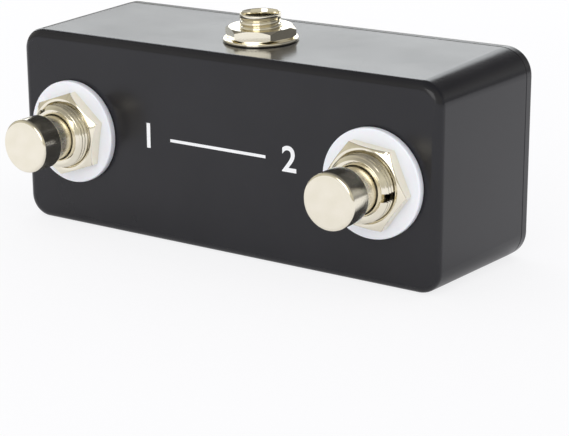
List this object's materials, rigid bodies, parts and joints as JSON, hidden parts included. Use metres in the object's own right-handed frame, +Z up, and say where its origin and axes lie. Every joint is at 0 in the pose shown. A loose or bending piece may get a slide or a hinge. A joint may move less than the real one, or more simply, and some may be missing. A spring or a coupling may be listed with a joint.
{
  "type": "footswitch",
  "caption": "Momentary footswitch: a small die-cast box with metal push buttons on its face and a phone-jack socket in its upper long side.",
  "frame": {"origin": "centre of the flat long side that the box stands on", "axes": "+X along the box's length, +Y from the button face towards the lid, +Z up towards the socket"},
  "size_m": [0.0926, 0.0463, 0.0428],
  "materials": {
    "coated_aluminium": "satin",
    "nickel_plate": "polished",
    "screw_steel": "plated",
    "spring_steel": "bright",
    "contact_metal": "rolled",
    "white_nylon": "moulded",
    "black_moulding": "moulded",
    "brown_phenolic": "moulded",
    "white_insulation": "extruded",
    "red_insulation": "extruded",
    "black_insulation": "extruded"
  },
  "bodies": {
    "box": {"enclosure": "coated_aluminium", "base_lid": "coated_aluminium", "lid_screws": "screw_steel", "jack_collar": "nickel_plate", "jack_nut": "nickel_plate", "jack_washer": "nickel_plate", "jack_body": "black_moulding", "jack_sleeve_tag": "contact_metal", "jack_tip_leaf": "contact_metal", "jack_ring_leaf": "contact_metal", "left_barrel": "nickel_plate", "left_front_nut": "nickel_plate", "left_dress_washer": "white_nylon", "left_lock_washer": "screw_steel", "left_back_nut": "nickel_plate", "left_switch_case": "brown_phenolic", "left_return_spring": "spring_steel", "left_terminal_left": "contact_metal", "left_terminal_right": "contact_metal", "left_signal_wire": "white_insulation", "left_ground_wire": "black_insulation", "right_barrel": "nickel_plate", "right_front_nut": "nickel_plate", "right_dress_washer": "white_nylon", "right_lock_washer": "screw_steel", "right_back_nut": "nickel_plate", "right_switch_case": "brown_phenolic", "right_return_spring": "spring_steel", "right_terminal_left": "contact_metal", "right_terminal_right": "contact_metal", "right_signal_wire": "red_insulation", "right_ground_wire": "black_insulation"},
    "left_button": {"left_button_cap": "nickel_plate", "left_plunger": "nickel_plate", "left_contact_bridge": "contact_metal"},
    "right_button": {"right_button_cap": "nickel_plate", "right_plunger": "nickel_plate", "right_contact_bridge": "contact_metal"}
  },
  "joints": [
    {"name": "left_press", "type": "slide", "parent": "box", "child": "left_button", "axis": [0, 0.9995, 0.0332], "range_m": [0, 0.0026], "stiffness_N_per_m": 900, "springref_m": -0.0022, "deforming": ["left_return_spring"]},
    {"name": "right_press", "type": "slide", "parent": "box", "child": "right_button", "axis": [0, 0.9995, 0.0332], "range_m": [0, 0.0026], "stiffness_N_per_m": 900, "springref_m": -0.0022, "deforming": ["right_return_spring"]}
  ]
}
